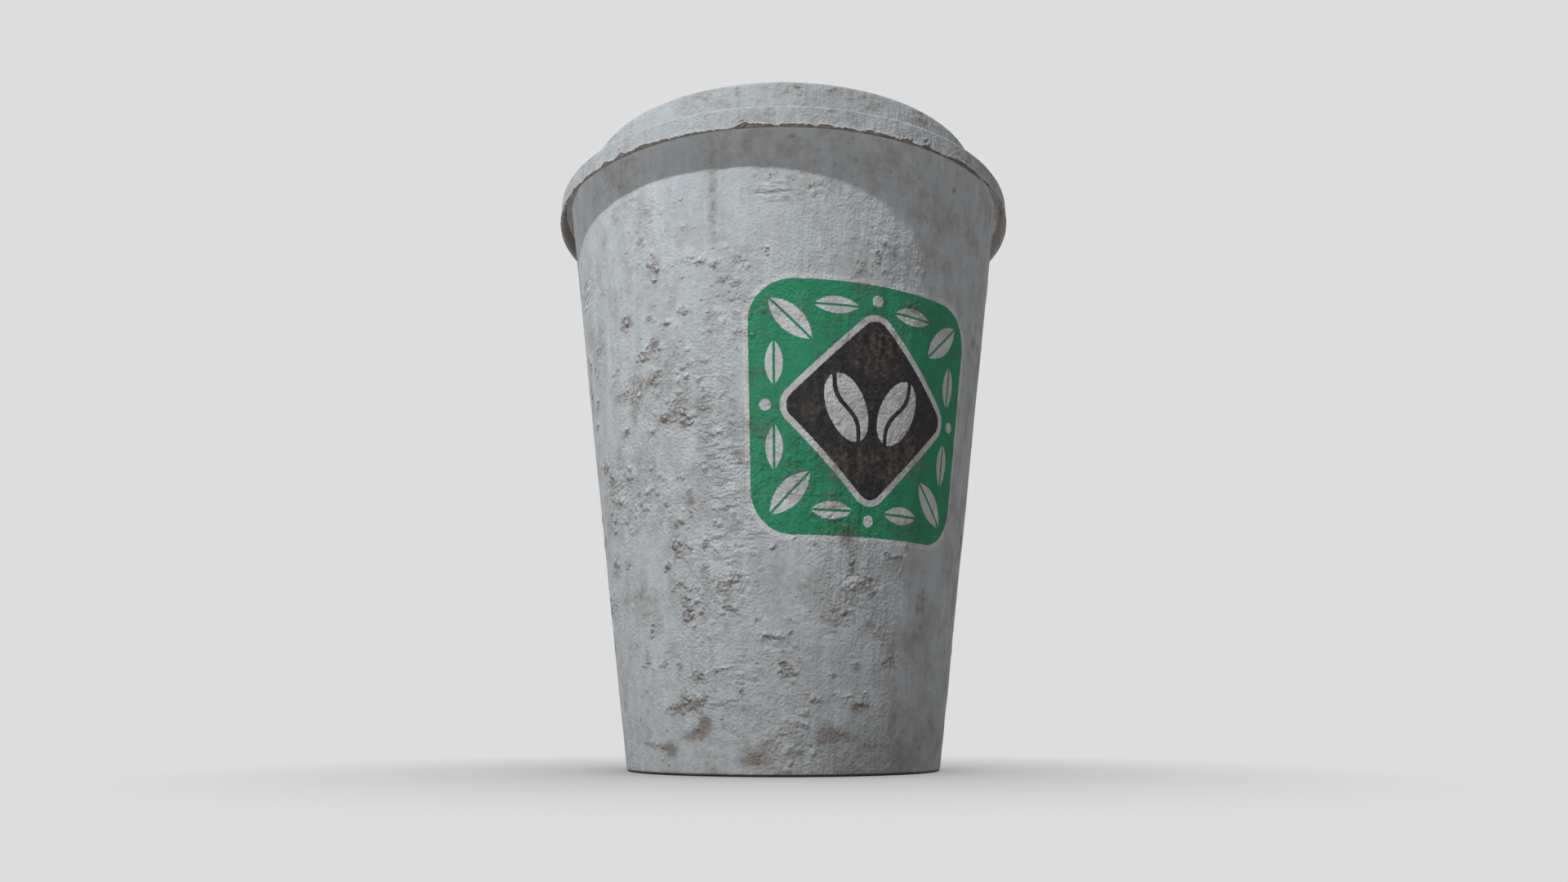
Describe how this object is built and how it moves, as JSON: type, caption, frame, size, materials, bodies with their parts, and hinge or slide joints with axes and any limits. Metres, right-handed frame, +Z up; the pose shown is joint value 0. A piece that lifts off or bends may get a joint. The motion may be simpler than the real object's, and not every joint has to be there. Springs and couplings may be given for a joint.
{
  "type": "used coffee cup",
  "caption": "Used takeaway coffee cup: a tapered paperboard cup with a rolled rim and a pressed-on plastic sip lid, dirty and stained all over, standing upright.",
  "frame": {"origin": "centre of the foot ring, on the surface that the cup stands on", "axes": "+Z up along the cup's axis, -Y towards the side with the drinking slot and the badge, +X to the right of a viewer who looks along +Y"},
  "size_m": [0.0932, 0.0932, 0.1201],
  "materials": {
    "board_outside": "pale grey coated board, soiled",
    "board_bottom": "uncoated board, soiled",
    "lid_plastic": "thin formed plastic, satin, soiled"
  },
  "bodies": {
    "root": {"cup_wall": "board_outside", "cup_bottom": "board_bottom", "sip_lid": "lid_plastic"}
  },
  "joints": []
}
